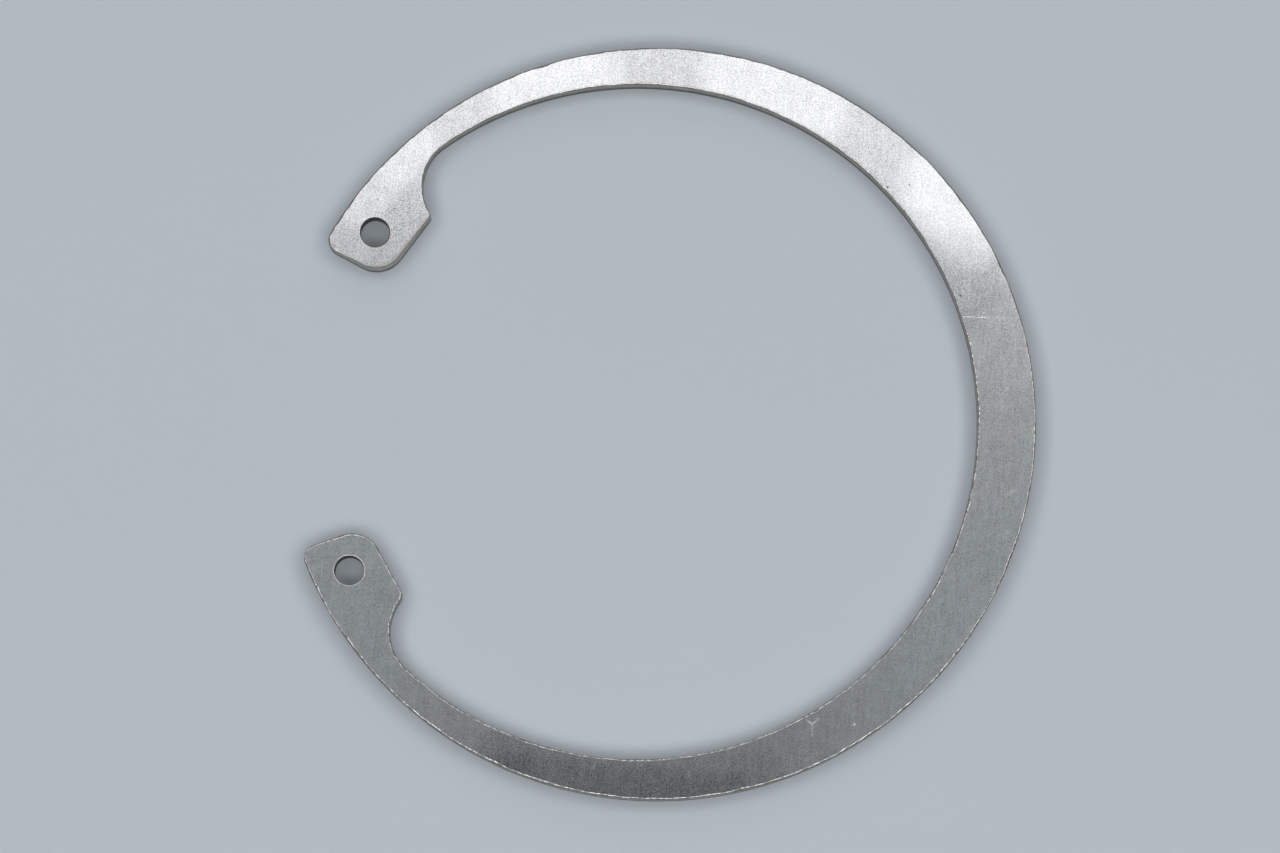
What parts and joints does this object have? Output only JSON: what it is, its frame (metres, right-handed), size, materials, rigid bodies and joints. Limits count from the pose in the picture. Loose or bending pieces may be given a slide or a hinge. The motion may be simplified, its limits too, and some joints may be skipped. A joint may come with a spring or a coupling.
{
  "type": "internal retaining ring",
  "caption": "Flat spring-steel retaining ring with a tapered band, an open gap and holed plier lugs, for a groove inside a bore.",
  "frame": {"origin": "on the axis of the rim, half way through the thickness", "axes": "+Z along the ring's axis and up as it lies flat; the gap between the lugs faces -X, so the back of the band is at +X"},
  "size_m": [0.086, 0.0904, 0.003],
  "materials": {
    "steel": "bare satin spring steel with a fine speckled grain, faint streaks and a few light scratches"
  },
  "bodies": {
    "root": {"retaining_ring": "steel"}
  },
  "joints": []
}
